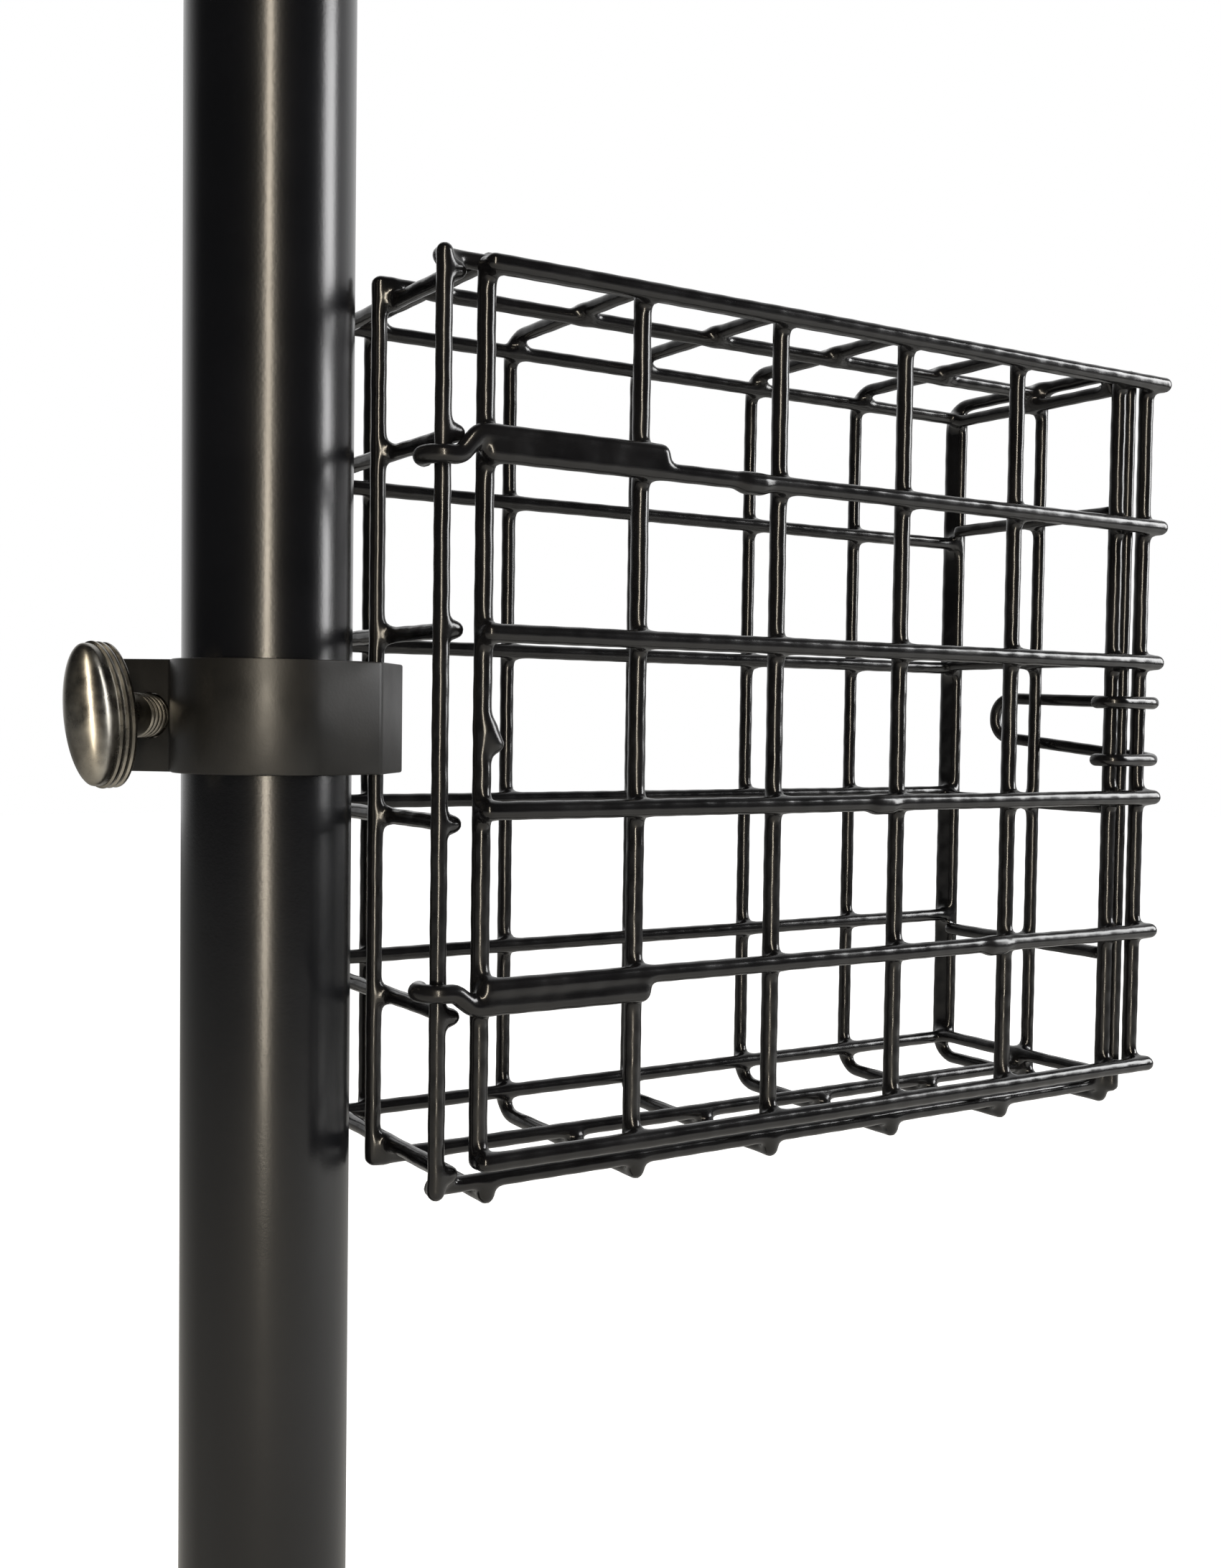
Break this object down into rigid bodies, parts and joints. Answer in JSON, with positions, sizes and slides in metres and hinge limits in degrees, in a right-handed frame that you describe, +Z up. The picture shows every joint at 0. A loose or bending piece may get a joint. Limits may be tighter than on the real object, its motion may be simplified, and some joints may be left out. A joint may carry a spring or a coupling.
{
  "type": "bird feeder on pole",
  "caption": "Black coated-wire suet cage with a hinged door and latch clip, held to a round garden pole section by a strap clamp with a thumb screw.",
  "frame": {"origin": "centre of the pole section's lower end, on the pole's axis", "axes": "+Z up the pole, +X along the cage's width away from the pole, -Y towards the cage's door"},
  "size_m": [0.1894, 0.0497, 0.4],
  "materials": {
    "coated_wire": "semi-gloss black dip coating",
    "pole_paint": "satin black powder coat",
    "strap_paint": "satin black powder coat",
    "screw_zinc": "bright zinc plate"
  },
  "bodies": {
    "pole_section": {"pole": "pole_paint"},
    "feeder": {"back_rail_1": "coated_wire", "back_rail_2": "coated_wire", "back_rail_3": "coated_wire", "back_rail_4": "coated_wire", "back_rail_5": "coated_wire", "back_rail_6": "coated_wire", "bottom_front_rail": "coated_wire", "bottom_middle_rail": "coated_wire", "clamp_strap": "strap_paint", "hoop_1": "coated_wire", "hoop_2": "coated_wire", "hoop_3": "coated_wire", "hoop_4": "coated_wire", "hoop_5": "coated_wire", "hoop_6": "coated_wire", "left_end_rail_1": "coated_wire", "left_end_rail_2": "coated_wire", "left_end_rail_3": "coated_wire", "left_end_rail_4": "coated_wire", "left_end_rail_5": "coated_wire", "left_end_rail_6": "coated_wire", "left_end_upright_back": "coated_wire", "left_end_upright_front": "coated_wire", "left_end_upright_middle": "coated_wire", "right_end_rail_1": "coated_wire", "right_end_rail_2": "coated_wire", "right_end_rail_3": "coated_wire", "right_end_rail_4": "coated_wire", "right_end_rail_5": "coated_wire", "right_end_rail_6": "coated_wire", "right_end_upright_back": "coated_wire", "right_end_upright_front": "coated_wire", "right_end_upright_middle": "coated_wire", "top_front_rail": "coated_wire", "top_middle_rail": "coated_wire"},
    "thumb_screw_body": {"thumb_screw": "screw_zinc"},
    "door": {"door_rail_1": "coated_wire", "door_rail_2": "coated_wire", "door_rail_3": "coated_wire", "door_rail_4": "coated_wire", "door_rail_5": "coated_wire", "door_rail_6": "coated_wire", "door_upright_1": "coated_wire", "door_upright_2": "coated_wire", "door_upright_3": "coated_wire", "door_upright_4": "coated_wire", "door_upright_5": "coated_wire", "door_upright_6": "coated_wire", "door_upright_7": "coated_wire", "hinge_hook_lower": "coated_wire", "hinge_hook_upper": "coated_wire"},
    "latch": {"latch_clip": "coated_wire"}
  },
  "joints": [
    {"name": "feeder_turn", "type": "hinge", "parent": "pole_section", "child": "feeder", "pos_m": [0, 0, 0.1997], "axis": [0, 0, 1], "range_deg": [-180, 180]},
    {"name": "thumb_screw_turn", "type": "hinge", "parent": "feeder", "child": "thumb_screw_body", "pos_m": [-0.0123, 0.01051, 0.1997], "axis": [0.6497, 0.7602, 0], "range_deg": [-360, 360]},
    {"name": "door_swing", "type": "hinge", "parent": "feeder", "child": "door", "pos_m": [0.01496, -0.02535, 0.2], "axis": [0, 0, -1], "range_deg": [0, 170]},
    {"name": "latch_swing", "type": "hinge", "parent": "door", "child": "latch", "pos_m": [0.14831, -0.0255, 0.2], "axis": [0, 0, -1], "range_deg": [0, 100]}
  ]
}
